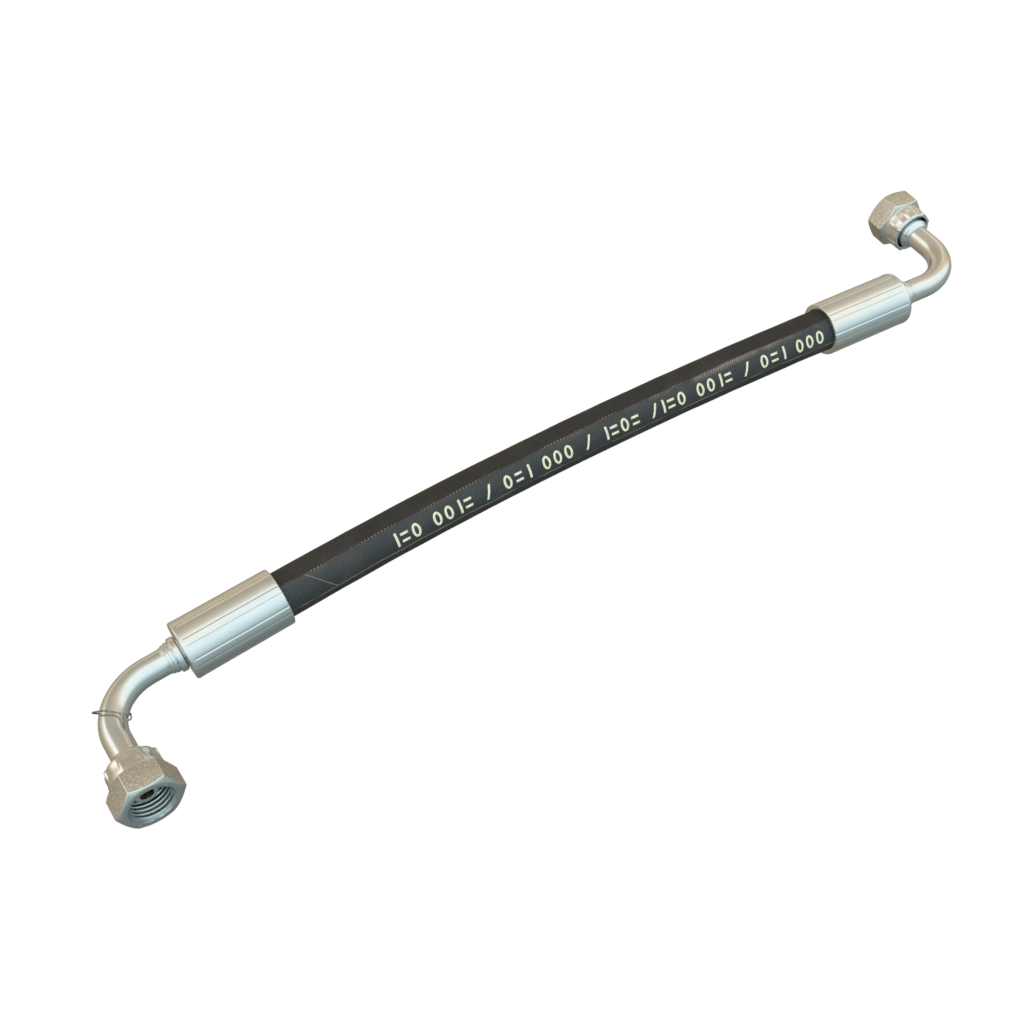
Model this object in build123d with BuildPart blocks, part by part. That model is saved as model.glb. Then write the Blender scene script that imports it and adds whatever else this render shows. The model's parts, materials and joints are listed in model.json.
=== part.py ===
from build123d import *
import os
from math import cos, radians, sin, tan

# Hydraulic hose assembly: a two-braid rubber hose with a 90 degree swivel-nut fitting
# crimped on each end. It lies flat, +Z up and +X along the hose, with its origin at the
# middle of its footprint on the surface. Millimetres throughout.

# ---- Hose
hose_bore = 6.4
inner_tube_wall = 1.55
braid_thickness = 0.5
insulation_thickness = 0.35
cover_thickness = 1.15
bend_share = 0.45  # share of the shorter straight run that each bend of the hose may take
hose_route = [
    (-130.48, 2.19),
    (-91.98, 5.22),
    (-51.45, 7.61),
    (-4.16, 8.40),
    (44.09, 7.40),
    (87.51, 5.03),
    (123.68, 2.65),
]

# ---- Ferrule
ferrule_diameter = 18.3
ferrule_length = 31.8
hose_insertion = 25.5
crimp_lands = 8
crimp_ridge_width = 2.5
crimp_ridge_height = 0.1
uncrimped_length = 1.5
bite_span = 24.0
bite_depth = 0.45
bite_count = 5
ferrule_end_radius = 0.7
mouth_chamfer = 0.4

# ---- Tail: the barbed insert that the hose is pushed over
tail_length = 24.0
tail_bore = 4.0
barb_count = 6
barb_depth = 0.4
barb_rise = 0.6  # share of the pitch that climbs to the crest
barb_crest = 0.2  # share of the pitch that stays at the crest
hose_stop_setback = 0.1  # the stop's rim is this far inside the outer braid
hose_stop_width = 1.5
lock_groove_diameter = 9.2
lock_gap = 0.2
collar_diameter = 10.8
collar_width = 2.1
collar_chamfer = 0.35
neck_diameter = 9.5
neck_width = 1.2
neck_taper = 2.1

# ---- Bent tube
tube_diameter = 8.0
tube_wall = 1.5
bend_radius = 15.8
bend_angle = 90.0
collar_to_bend = {"a": 8.2, "b": 9.8}
bend_to_port = 23.9
braze_depth = 3.4
port_b_clocking = 2.5  # end B is crimped on turned this far about the hose, its port raised

# ---- Cone nose and its O-ring, with stations counted back from the nut's mouth
nose_setback = 3.8
nose_tip_diameter = 6.1
nose_bore = 4.0
cone_half_angle = 30.0
barrel_gap = 0.5225  # room between the nose's barrel and the thread
shoulder_start = 7.8
shoulder_end = 11.0
shoulder_height = 0.8  # the shoulder stands this far out from the hub
shoulder_chamfer = 0.6
hub_step = 0.4  # the hub stands this far out from the barrel
hub_proud = 1.5
hub_taper = 1.4
hub_taper_diameter = 9.1
o_ring_section = 1.2
o_ring_setback = 5.9
o_ring_groove_diameter = 6.5
o_ring_groove_gap = 0.1
o_ring_squeeze = 0.05

# ---- Swivel nut
nut_across_flats = 17.0
nut_hex_length = 8.3
nut_length = 14.4
nut_face_diameter = 16.2
nut_chamfer_angle = 30.0
skirt_wall = 1.25
skirt_crimp = 0.3  # each crimp land is pressed in this far
thread_minor_diameter = 11.445
thread_half_depth = 0.4275
thread_mouth_room = 0.9775  # the mouth chamfer opens this far past the thread's crests
thread_mouth_depth = 0.8
front_thread_end = 3.5
thread_end = 7.0
lip_gap = 0.35  # room between the nut's back lip and the hub
lip_length = 3.0
lip_flare = 0.55
lip_mouth_depth = 1.0
swivel_gap = 0.3
nut_a_turn = -8.6  # each free nut is left turned this far from a level flat
nut_b_turn = 4.5

# ---- Tag wire: a loose wire ring round the bend at end A
wire_diameter = 0.6
wire_gap = 0.35
wire_station = 58.0  # degrees round the bend, from the ferrule's side
wire_tilt = 28.0  # the loose ring leans this far out of square with the tube
wire_sag_room = 0.2
curl_radius = 0.85
curl_lift = 0.25
curl_station = 0.11  # share of the ring's length, from the inside of the bend

# ---- Derived sizes
inner_tube_radius = hose_bore / 2 + inner_tube_wall
inner_braid_radius = inner_tube_radius + braid_thickness
insulation_radius = inner_braid_radius + insulation_thickness
outer_braid_radius = insulation_radius + braid_thickness
hose_radius = outer_braid_radius + cover_thickness
hose_stop_diameter = 2 * (insulation_radius - hose_stop_setback)
ferrule_end = ferrule_length - hose_insertion
collar_start = ferrule_end + 2 * lock_gap
collar_end = collar_start + collar_width
tail_end = collar_end + neck_width + neck_taper
hub_end = nut_length + hub_proud
nose_end = hub_end + hub_taper
nut_corner_radius = nut_across_flats / 2 / cos(radians(30))
thread_pitch_diameter = thread_minor_diameter + 2 * thread_half_depth
thread_mouth_diameter = thread_minor_diameter + 2 * thread_mouth_room
nose_barrel_diameter = thread_minor_diameter - 2 * barrel_gap
hub_diameter = nose_barrel_diameter + 2 * hub_step
shoulder_diameter = hub_diameter + 2 * shoulder_height
cavity_diameter = shoulder_diameter + 2 * swivel_gap
cavity_start = shoulder_start - swivel_gap
skirt_diameter = cavity_diameter + 2 * skirt_wall
skirt_across_lands = skirt_diameter - 2 * skirt_crimp
lip_diameter = hub_diameter + 2 * lip_gap
lip_start = nut_length - lip_length
lip_mouth_diameter = lip_diameter + 2 * lip_flare

# It lies on its ferrules, or on the nuts' corner edges if those reach lower
nut_reach = nut_corner_radius * cos(radians(30 - abs(nut_a_turn)))
axis_height = max(ferrule_diameter / 2, nut_reach)

os.makedirs("parts", exist_ok=True)


def save(part, label):
    part.label = label
    export_step(part, f"parts/{label}.step")


def station_plane(origin, direction):
    """Plane for turned outlines: X is the radius, held level, and Y runs along the axis."""
    level = Vector(0, 0, 1).cross(direction)
    return Plane(origin=origin, x_dir=level, z_dir=level.cross(direction))


def spun(plane, outline, mode=Mode.ADD):
    """Revolve a closed outline of (radius, station) points about the plane's Y axis."""
    with BuildSketch(plane) as profile:
        with BuildLine():
            Polyline(*outline, close=True)
        make_face()
    revolve(profile.sketch, axis=Axis(plane.origin, plane.y_dir), mode=mode)


# ---- Hose layers, one tube inside the next along the same route
route = [Vector(x, y, axis_height) for x, y in hose_route]
runs = [b - a for a, b in zip(route, route[1:])]
route_radii = [
    bend_share * min(a.length, b.length) / tan(radians(a.get_angle(b)) / 2)
    for a, b in zip(runs, runs[1:])
]
print("hose bend radii, mm:", [round(r) for r in route_radii])


with BuildLine() as hose_path:
    hose_line = FilletPolyline(*route, radius=route_radii)


def hose_layer(inner_radius, outer_radius):
    with BuildPart() as layer:
        with BuildSketch(Plane(origin=hose_line @ 0, z_dir=hose_line % 0)) as ring:
            Circle(outer_radius)
            Circle(inner_radius, mode=Mode.SUBTRACT)
        sweep(path=hose_line)
    filled = layer.part.volume / (ring.sketch.area * hose_line.length)
    print("hose layer volume over section times length:", round(filled, 4))
    return layer.part


hose_layers = {
    "hose_inner_tube": (hose_bore / 2, inner_tube_radius),
    "hose_inner_braid": (inner_tube_radius, inner_braid_radius),
    "hose_insulation": (inner_braid_radius, insulation_radius),
    "hose_outer_braid": (insulation_radius, outer_braid_radius),
    "hose_cover": (outer_braid_radius, hose_radius),
}
for layer_name, (inside, outside) in hose_layers.items():
    save(hose_layer(inside, outside), layer_name)


# ---- One fitting: ferrule, tail, bent tube, cone nose, O-ring and swivel nut
def make_ferrule(cut_end, outward):
    """Crimped shell: stations run outward from the hose's cut end."""
    plane = station_plane(cut_end, outward)
    mouth = -hose_insertion
    outer = ferrule_diameter / 2
    bite_pitch = bite_span / bite_count
    with BuildPart() as ferrule:
        spun(
            plane,
            [
                (hose_radius, mouth + mouth_chamfer),
                (hose_radius + mouth_chamfer, mouth),
                (outer - mouth_chamfer, mouth),
                (outer, mouth + mouth_chamfer),
                (outer, ferrule_end),
                (lock_groove_diameter / 2, ferrule_end),
                (lock_groove_diameter / 2, hose_stop_width + lock_gap),
                (hose_radius, hose_stop_width + lock_gap),
            ],
        )
        rim = ferrule.edges().filter_by(GeomType.CIRCLE).sort_by(Axis(cut_end, outward))[-2:]
        fillet(rim.sort_by(SortBy.RADIUS)[-1], ferrule_end_radius)
        # Grooves between the ribs that bite the cover
        for bite in range(1, bite_count):
            low = mouth + bite * bite_pitch
            spun(
                plane,
                [
                    (hose_radius, low),
                    (hose_radius + bite_depth, low + bite_depth),
                    (hose_radius + bite_depth, low + bite_pitch / 2),
                    (hose_radius, low + bite_pitch / 2 + bite_depth),
                ],
                mode=Mode.SUBTRACT,
            )
        # Low ridges left between the crimping jaws
        crimped = ferrule_length - uncrimped_length
        with BuildSketch(Plane(cut_end + outward * mouth, x_dir=(0, 0, 1), z_dir=outward)):
            with PolarLocations(outer, crimp_lands, start_angle=180 / crimp_lands):
                Rectangle(2 * crimp_ridge_height, crimp_ridge_width)
        extrude(amount=crimped)
    return ferrule.part


def make_tail(cut_end, outward):
    """Barbed insert with its hose stop, lock groove, collar and stepped neck."""
    plane = station_plane(cut_end, outward)
    crest = hose_bore / 2
    pitch = tail_length / barb_count
    barbs = []
    for barb in range(barb_count):
        low = -tail_length + barb * pitch
        drop = low + pitch * (barb_rise + barb_crest)
        barbs += [(crest - barb_depth, low), (crest, low + pitch * barb_rise)]
        barbs += [(crest, drop), (crest - barb_depth, drop)]
    with BuildPart() as tail:
        spun(
            plane,
            [
                (tail_bore / 2, -tail_length),
                *barbs,
                (crest - barb_depth, 0),
                (hose_stop_diameter / 2, 0),
                (hose_stop_diameter / 2, hose_stop_width),
                (lock_groove_diameter / 2, hose_stop_width),
                (lock_groove_diameter / 2, collar_start),
                (collar_diameter / 2 - collar_chamfer, collar_start),
                (collar_diameter / 2, collar_start + collar_chamfer),
                (collar_diameter / 2, collar_end - collar_chamfer),
                (collar_diameter / 2 - collar_chamfer, collar_end),
                (neck_diameter / 2, collar_end),
                (neck_diameter / 2, collar_end + neck_width),
                (tube_diameter / 2 + collar_chamfer, tail_end),
                (tube_diameter / 2, tail_end),
                (tube_diameter / 2, tail_end - braze_depth),
                (tail_bore / 2, tail_end - braze_depth),
            ],
        )
    return tail.part


def bend_frame(cut_end, outward, clocking, straight):
    """Centreline of the bent tube, in the hose's own plane turned by the clocking angle."""
    above = Vector(0, 0, 1).rotate(Axis((0, 0, 0), outward), clocking)
    bend_plane = Plane(origin=cut_end, x_dir=outward, z_dir=above)
    bend_start = (collar_end + straight, 0)
    with BuildLine(bend_plane) as centreline:
        Line((tail_end - braze_depth, 0), bend_start)
        bend = JernArc(bend_start, (1, 0), bend_radius, bend_angle)
        port_way = bend % 1
        tube_end = bend @ 1 + port_way * (bend_to_port - (nose_end - braze_depth))
        Line(bend @ 1, tube_end)
    mouth = bend @ 1 + port_way * bend_to_port
    return centreline.line, bend, mouth, port_way


def make_elbow(centreline):
    with BuildPart() as elbow:
        with BuildSketch(Plane(origin=centreline @ 0, z_dir=centreline % 0)):
            Circle(tube_diameter / 2)
            Circle(tube_diameter / 2 - tube_wall, mode=Mode.SUBTRACT)
        sweep(path=centreline)
    return elbow.part


def make_nose(mouth, port_way):
    """Cone nose and the shoulder that the nut pulls on: stations run back from the mouth."""
    plane = station_plane(mouth, -port_way)
    barrel = nose_barrel_diameter / 2
    tip = nose_tip_diameter / 2
    slope = tan(radians(cone_half_angle))
    groove_low = o_ring_setback - o_ring_section / 2 - o_ring_groove_gap
    groove_high = o_ring_setback + o_ring_section / 2 + o_ring_groove_gap
    with BuildPart() as nose:
        spun(
            plane,
            [
                (nose_bore / 2, nose_setback),
                (tip, nose_setback),
                (tip + (groove_low - nose_setback) * slope, groove_low),
                (o_ring_groove_diameter / 2, groove_low),
                (o_ring_groove_diameter / 2, groove_high),
                (tip + (groove_high - nose_setback) * slope, groove_high),
                (barrel, nose_setback + (barrel - tip) / slope),
                (barrel, shoulder_start),
                (shoulder_diameter / 2 - shoulder_chamfer, shoulder_start),
                (shoulder_diameter / 2, shoulder_start + shoulder_chamfer),
                (shoulder_diameter / 2, shoulder_end),
                (hub_diameter / 2, shoulder_end),
                (hub_diameter / 2, hub_end),
                (hub_taper_diameter / 2, nose_end),
                (tube_diameter / 2, nose_end),
                (tube_diameter / 2, nose_end - braze_depth),
                (nose_bore / 2, nose_end - braze_depth),
            ],
        )
    return nose.part


def make_o_ring(mouth, port_way):
    """Rubber ring, flattened a little where it sits on the floor of its groove."""
    floor = o_ring_groove_diameter / 2
    plane = station_plane(mouth, -port_way)
    with BuildPart() as o_ring:
        with BuildSketch(plane):
            with Locations((floor + o_ring_section / 2 - o_ring_squeeze, o_ring_setback)):
                Circle(o_ring_section / 2)
            with Locations((floor / 2, o_ring_setback)):
                Rectangle(floor, o_ring_section, mode=Mode.SUBTRACT)
        revolve(axis=Axis(plane.origin, plane.y_dir))
    return o_ring.part


def make_nut(mouth, port_way, turn):
    """Hexagon with chamfered ends, and a skirt crimped in behind the nose's shoulder."""
    face = Plane(origin=mouth, x_dir=Vector(0, 0, 1).cross(port_way), z_dir=port_way)
    plane = station_plane(mouth, -port_way)
    clear = nut_corner_radius + swivel_gap
    chamfer = (clear - nut_face_diameter / 2) * tan(radians(nut_chamfer_angle))
    with BuildPart() as nut:
        with BuildSketch(face):
            RegularPolygon(nut_across_flats / 2, 6, major_radius=False, rotation=turn)
        extrude(amount=-nut_hex_length)
        spun(
            plane,
            [
                (0, 0),
                (nut_face_diameter / 2, 0),
                (clear, chamfer),
                (clear, nut_hex_length - chamfer),
                (nut_face_diameter / 2, nut_hex_length),
                (0, nut_hex_length),
            ],
            mode=Mode.INTERSECT,
        )
        with BuildSketch(face.offset(-nut_hex_length)):
            Circle(skirt_diameter / 2)
            RegularPolygon(
                skirt_across_lands / 2, crimp_lands, False, rotation=turn, mode=Mode.INTERSECT
            )
        extrude(amount=-(nut_length - nut_hex_length))
        spun(
            plane,
            [
                (0, 0),
                (thread_mouth_diameter / 2, 0),
                (thread_minor_diameter / 2, thread_mouth_depth),
                (thread_minor_diameter / 2, front_thread_end),
                (thread_pitch_diameter / 2, front_thread_end),
                (thread_pitch_diameter / 2, thread_end),
                (cavity_diameter / 2 - shoulder_chamfer, cavity_start),
                (cavity_diameter / 2, cavity_start + shoulder_chamfer),
                (cavity_diameter / 2, lip_start),
                (lip_diameter / 2, lip_start),
                (lip_diameter / 2, nut_length - lip_mouth_depth),
                (lip_mouth_diameter / 2, nut_length),
                (0, nut_length),
            ],
            mode=Mode.SUBTRACT,
        )
    return nut.part


def make_tag_wire(bend):
    """Leaning oval of wire round the bend, closed by a small curl beside the tube."""
    station = wire_station / bend_angle
    centre = bend @ station
    along = bend % station
    inward = Vector(0, 0, 1).cross(along)
    lean = radians(wire_tilt)
    normal = along * cos(lean) - Vector(0, 0, 1) * sin(lean)
    ring_plane = Plane(origin=centre, x_dir=inward, z_dir=normal)
    clear_radius = tube_diameter / 2 + wire_gap
    half_width = clear_radius + wire_diameter / 2
    half_height = clear_radius / cos(lean) + wire_diameter / 2 + wire_sag_room
    with BuildPart() as tag_wire:
        with BuildLine(ring_plane):
            ring = EllipticalCenterArc((0, 0), half_width, half_height, start_angle=0, arc_size=360)
        with BuildSketch(Plane(origin=ring @ 0, z_dir=ring % 0)):
            Circle(wire_diameter / 2)
        sweep(path=ring)
        root = ring @ curl_station
        out = (root - centre - along * (root - centre).dot(along)).normalized()
        way = (along + out.cross(along)).normalized()
        curl_centre = root + out * curl_lift + way * curl_radius
        with Locations(Plane(origin=curl_centre, z_dir=out)):
            Torus(curl_radius, wire_diameter / 2)
    print("tag wire centre", centre, "axis", along)
    return tag_wire.part


fitting_ends = {
    "a": (route[0], route[1], 0, nut_a_turn),
    "b": (route[-1], route[-2], port_b_clocking, nut_b_turn),
}
for end, (cut_end, next_point, clocking, turn) in fitting_ends.items():
    outward = (cut_end - next_point).normalized()
    centreline, bend, mouth, port_way = bend_frame(
        cut_end, outward, clocking, collar_to_bend[end]
    )
    save(make_ferrule(cut_end, outward), f"ferrule_{end}")
    save(make_tail(cut_end, outward), f"hose_tail_{end}")
    save(make_elbow(centreline), f"elbow_tube_{end}")
    save(make_nose(mouth, port_way), f"cone_nose_{end}")
    save(make_o_ring(mouth, port_way), f"o_ring_{end}")
    save(make_nut(mouth, port_way, turn), f"swivel_nut_{end}")
    print("port", end, mouth, port_way)
    if end == "a":
        save(make_tag_wire(bend), "tag_wire")
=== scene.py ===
import json
from bisect import bisect_left
from itertools import cycle
from math import atan2, cos, exp, pi, radians, sin, tan

import bmesh
import bpy
from mathutils import Matrix, Vector, noise


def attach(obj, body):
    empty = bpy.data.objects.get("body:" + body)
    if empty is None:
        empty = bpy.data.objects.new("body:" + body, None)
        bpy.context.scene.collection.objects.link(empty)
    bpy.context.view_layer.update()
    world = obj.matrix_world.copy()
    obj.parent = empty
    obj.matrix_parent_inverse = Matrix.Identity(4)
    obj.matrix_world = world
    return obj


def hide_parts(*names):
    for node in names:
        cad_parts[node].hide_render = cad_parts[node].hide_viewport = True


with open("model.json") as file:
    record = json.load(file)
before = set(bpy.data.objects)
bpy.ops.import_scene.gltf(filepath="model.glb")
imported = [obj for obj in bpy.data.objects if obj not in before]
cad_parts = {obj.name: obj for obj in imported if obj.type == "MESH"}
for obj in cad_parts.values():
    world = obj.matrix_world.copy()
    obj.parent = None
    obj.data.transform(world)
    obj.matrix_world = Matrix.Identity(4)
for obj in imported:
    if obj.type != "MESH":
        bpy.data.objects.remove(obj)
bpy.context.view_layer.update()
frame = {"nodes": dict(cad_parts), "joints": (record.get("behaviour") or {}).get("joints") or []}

MM = 0.001
UP = Vector((0, 0, 1))

# ---- Sizes shared with the CAD model, in millimetres
AXIS_HEIGHT = 9.15
HOSE_ROUTE = [
    (-130.48, 2.19),
    (-91.98, 5.22),
    (-51.45, 7.61),
    (-4.16, 8.40),
    (44.09, 7.40),
    (87.51, 5.03),
    (123.68, 2.65),
]
HOSE_RADIUS = 7.25
COVER_INNER_RADIUS = 6.1
FERRULE_RADIUS = 9.15
FERRULE_END = 6.3
FERRULE_MOUTH = -25.5
COLLAR_START = 6.7
COLLAR_END = 8.8
TAIL_END = 12.1
BRAZE_DEPTH = 3.4
COLLAR_TO_BEND = {"a": 8.2, "b": 9.8}
TAIL_LENGTH = 24.0
TAIL_BORE_RADIUS = 2.0
BEND_RADIUS = 15.8
BEND_TO_PORT = 23.9
TUBE_RADIUS = 4.0
TUBE_BORE_RADIUS = 2.5
NOSE_END = 17.3
NOSE_BORE_RADIUS = 2.0
SEAL_SEAT_RADIUS = 3.25
NUT_FLATS = 17.0
NUT_FACE_RADIUS = 8.1
NUT_HEX_LENGTH = 8.3
NUT_LENGTH = 14.4
THREAD_PITCH = 1.337
THREAD_CREST = 5.7225
THREAD_ROOT = 6.578
THREAD_LENGTH = 7.0
LANDS = 8
RIB_WIDTH = 2.55
RIB_ANGLE = {"a": 62, "b": 118}
NUT_TURN = {"a": -8.6, "b": 4.5}
SEAM_ANGLES = (22, 90)

# ---- Camera
AZIMUTH, ELEVATION, ROLL = radians(-25.71), radians(48.98), radians(-6.63)
DISTANCE = 360.76
TARGET = Vector((-31.74, -6.60, AXIS_HEIGHT))
SENSOR_WIDTH = 36
LENS = 41.32125

back = Vector((sin(AZIMUTH) * cos(ELEVATION), -cos(AZIMUTH) * cos(ELEVATION), sin(ELEVATION)))
level = Vector((cos(AZIMUTH), sin(AZIMUTH), 0))
above = back.cross(level)
right = level * cos(ROLL) + above * sin(ROLL)
upward = above * cos(ROLL) - level * sin(ROLL)
camera = bpy.data.objects.new("camera", bpy.data.cameras.new("camera"))
camera.data.sensor_width = SENSOR_WIDTH
camera.data.lens = LENS
camera.data.clip_start = 0.01
camera.matrix_world = Matrix.Translation((TARGET + back * DISTANCE) * MM) @ Matrix(
    (right, upward, back)
).transposed().to_4x4()
bpy.context.scene.collection.objects.link(camera)
bpy.context.scene.camera = camera


# ---- Small helpers
TURNED_STEPS = 128


def placed(origin, axis):
    """Matrix that stands +Z on the axis, with +X level, at an origin in millimetres."""
    z = axis.normalized()
    x = UP.cross(z).normalized()
    place = Matrix((x, z.cross(x), z)).transposed().to_4x4()
    place.translation = origin * MM
    return place


def finish_mesh(name, bm, materials, smooth_angle=35):
    """Object made from a bmesh, shaded smooth up to an angle in degrees."""
    bmesh.ops.recalc_face_normals(bm, faces=bm.faces)
    mesh = bpy.data.meshes.new(name)
    bm.to_mesh(mesh)
    bm.free()
    for material in materials:
        mesh.materials.append(material)
    mesh.polygons.foreach_set("use_smooth", [True] * len(mesh.polygons))
    mesh.set_sharp_from_angle(angle=radians(smooth_angle))
    piece = bpy.data.objects.new(name, mesh)
    bpy.context.scene.collection.objects.link(piece)
    return piece


def outline_ring(bm, outline, rounding):
    """A closed loop of (radius, station) points in millimetres, with its corners rounded."""
    verts = [bm.verts.new((r * MM, 0, s * MM)) for r, s in outline]
    for pair in zip(verts, verts[1:] + verts[:1]):
        bm.edges.new(pair)
    if rounding:
        bmesh.ops.bevel(
            bm,
            geom=verts,
            offset=rounding * MM,
            offset_type="OFFSET",
            segments=3,
            profile=0.5,
            affect="VERTICES",
            clamp_overlap=True,
            material=-1,
        )


def spin_full(bm, steps):
    """Spin everything in the bmesh once round Z."""
    bmesh.ops.spin(
        bm,
        geom=bm.verts[:] + bm.edges[:],
        cent=(0, 0, 0),
        axis=(0, 0, 1),
        dvec=(0, 0, 0),
        angle=2 * pi,
        steps=steps,
        use_merge=True,
        use_duplicate=False,
    )
    bmesh.ops.remove_doubles(bm, verts=bm.verts, dist=1e-7)


def turned(name, outline, place, material, rounding):
    """Lathe-turned piece from its closed outline."""
    bm = bmesh.new()
    outline_ring(bm, outline, rounding)
    spin_full(bm, TURNED_STEPS)
    bmesh.ops.transform(bm, matrix=place, verts=bm.verts)
    return finish_mesh(name, bm, [material])


def open_circle(bm, radius, segments):
    """Verts and edges of a circle about the local origin, with no face in it."""
    verts = bmesh.ops.create_circle(bm, cap_ends=False, radius=radius, segments=segments)["verts"]
    return verts, list(dict.fromkeys(e for v in verts for e in v.link_edges))


def grow(bm, edges):
    """Extrude edges in place, and give the new verts and the new edges."""
    grown = bmesh.ops.extrude_edge_only(bm, edges=edges)["geom"]
    verts = [g for g in grown if isinstance(g, bmesh.types.BMVert)]
    return verts, [g for g in grown if isinstance(g, bmesh.types.BMEdge)]


def carried(angles, fresh):
    """The angle of each new vert, taken from the vert that it grew from."""
    return {
        v: next(angles[e.other_vert(v)] for e in v.link_edges if e.other_vert(v) in angles)
        for v in fresh
    }


def smooth_line(name, points, resolution, wire_radius=0.0):
    """Mesh of a spline through points in millimetres, or of a wire along it."""
    data = bpy.data.curves.new(name, "CURVE")
    data.dimensions = "3D"
    data.resolution_u = resolution
    data.bevel_depth = wire_radius * MM
    data.bevel_resolution = 3
    data.use_fill_caps = wire_radius > 0
    spline = data.splines.new("NURBS")
    spline.points.add(len(points) - 1)
    for point, spot in zip(spline.points, points):
        point.co = (*(length * MM for length in spot), 1)
    spline.order_u = 3
    spline.use_endpoint_u = True
    line = bpy.data.objects.new(name, data)
    bpy.context.scene.collection.objects.link(line)
    mesh = bpy.data.meshes.new_from_object(line)
    bpy.data.objects.remove(line)
    bpy.data.curves.remove(data)
    return mesh


# ---- Node helpers
def feed(tree, socket, value):
    """Link another socket to this one, or set a plain value on it."""
    if isinstance(value, bpy.types.NodeSocket):
        tree.links.new(value, socket)
    else:
        socket.default_value = value


def node(tree, kind, **inputs):
    """A new node, with its inputs given by name, or by place as i0, i1 and so on."""
    made = tree.nodes.new(kind)
    for key, value in inputs.items():
        by_place = key[0] == "i" and key[1:].isdigit()
        feed(tree, made.inputs[int(key[1:]) if by_place else key], value)
    return made


def math_node(tree, operation, first, second=0.0, third=0.0, clamp=False):
    made = node(tree, "ShaderNodeMath", i0=first, i1=second, i2=third)
    made.operation = operation
    made.use_clamp = clamp
    return made.outputs[0]


def times(tree, first, second, clamp=False):
    return math_node(tree, "MULTIPLY", first, second, clamp=clamp)


def minus(tree, first, second):
    return math_node(tree, "SUBTRACT", first, second)


def wave(tree, place, pitch):
    """Sine of a distance in metres, its pitch in millimetres."""
    return math_node(tree, "SINE", times(tree, place, 2 * pi / (pitch * MM)))


def mixed(tree, share, first, second):
    """Colour between two colours, by a share of the second."""
    made = tree.nodes.new("ShaderNodeMix")
    made.data_type = "RGBA"
    for place, value in ((0, share), (6, first), (7, second)):
        feed(tree, made.inputs[place], value)
    return made.outputs[2]


def between(tree, value, low, high, to_low=0.0, to_high=1.0):
    """Smooth step of a value over a range."""
    made = node(tree, "ShaderNodeMapRange", i0=value, i1=low, i2=high, i3=to_low, i4=to_high)
    made.interpolation_type = "SMOOTHSTEP"
    return made.outputs[0]


def noise_tex(tree, vector, scale, detail=3.0, roughness=0.5):
    made = node(tree, "ShaderNodeTexNoise", Vector=vector, Scale=scale, Detail=detail, Roughness=roughness)
    return made.outputs[0]


def new_group(name, inputs, outputs):
    """Shader group, from pairs of a label and a kind: vector, float or colour."""
    group = bpy.data.node_groups.new(name, "ShaderNodeTree")
    kinds = {"v": "NodeSocketVector", "f": "NodeSocketFloat", "c": "NodeSocketColor"}
    for way, sockets in (("INPUT", inputs), ("OUTPUT", outputs)):
        for label, kind in sockets:
            group.interface.new_socket(name=label, in_out=way, socket_type=kinds[kind])
    return group, group.nodes.new("NodeGroupInput").outputs, group.nodes.new("NodeGroupOutput").inputs


def use_group(tree, group, **inputs):
    made = tree.nodes.new("ShaderNodeGroup")
    made.node_tree = group
    for label, value in inputs.items():
        feed(tree, made.inputs[label], value)
    return made.outputs


def new_material(name, roughness=0.5, metallic=0.0, specular=0.5):
    material = bpy.data.materials.new(name)
    material.use_nodes = True
    tree = material.node_tree
    shader = tree.nodes["Principled BSDF"]
    shader.inputs["Roughness"].default_value = roughness
    shader.inputs["Metallic"].default_value = metallic
    shader.inputs["Specular IOR Level"].default_value = specular
    return material, tree, shader


def object_coords(tree, axis=None, stretch=1.0):
    """Object coordinates, squeezed along an axis so that a pattern runs out in long streaks."""
    coords = tree.nodes.new("ShaderNodeTexCoord").outputs["Object"]
    if axis is None:
        return coords
    turn = axis.normalized().to_track_quat("X", "Z").to_matrix().inverted().to_euler()
    lengthwise = node(tree, "ShaderNodeMapping", Vector=coords, Rotation=tuple(turn)).outputs[0]
    return node(tree, "ShaderNodeMapping", Vector=lengthwise, Scale=(stretch, 1, 1)).outputs[0]


def bumped(tree, shader, height, depth):
    """Bump of a depth in millimetres."""
    bump = node(tree, "ShaderNodeBump", Height=height, Distance=depth * MM, Strength=1.0)
    tree.links.new(bump.outputs[0], shader.inputs["Normal"])


# ---- Shared effects
def make_plate_group():
    """Bright zinc plate: faint blue and straw tints, cloudy roughness and fine streaks."""
    group, given, out = new_group(
        "zinc_plate",
        [
            ("Vector", "v"),
            ("Streaks", "v"),
            ("Cool", "c"),
            ("Warm", "c"),
            ("Smooth", "f"),
            ("Rough", "f"),
        ],
        [("Color", "c"), ("Roughness", "f"), ("Height", "f")],
    )
    clouds = noise_tex(group, given["Vector"], 140.0, 4.0, 0.6)
    blotches = noise_tex(group, given["Vector"], 620.0, 3.0, 0.6)
    streaks = noise_tex(group, given["Streaks"], 2600.0, 4.0, 0.7)
    tint = between(group, clouds, 0.36, 0.66)
    base = mixed(group, tint, given["Cool"], given["Warm"])
    dull = times(group, between(group, blotches, 0.5, 0.78), 0.3)
    group.links.new(mixed(group, dull, base, (0.62, 0.63, 0.62, 1)), out["Color"])
    uneven = math_node(group, "MULTIPLY_ADD", blotches, 0.55, times(group, streaks, 0.45))
    polish = node(
        group, "ShaderNodeMapRange", i0=uneven, i1=0.32, i2=0.68, i3=given["Smooth"], i4=given["Rough"]
    )
    group.links.new(polish.outputs[0], out["Roughness"])
    group.links.new(streaks, out["Height"])
    return group


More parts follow.
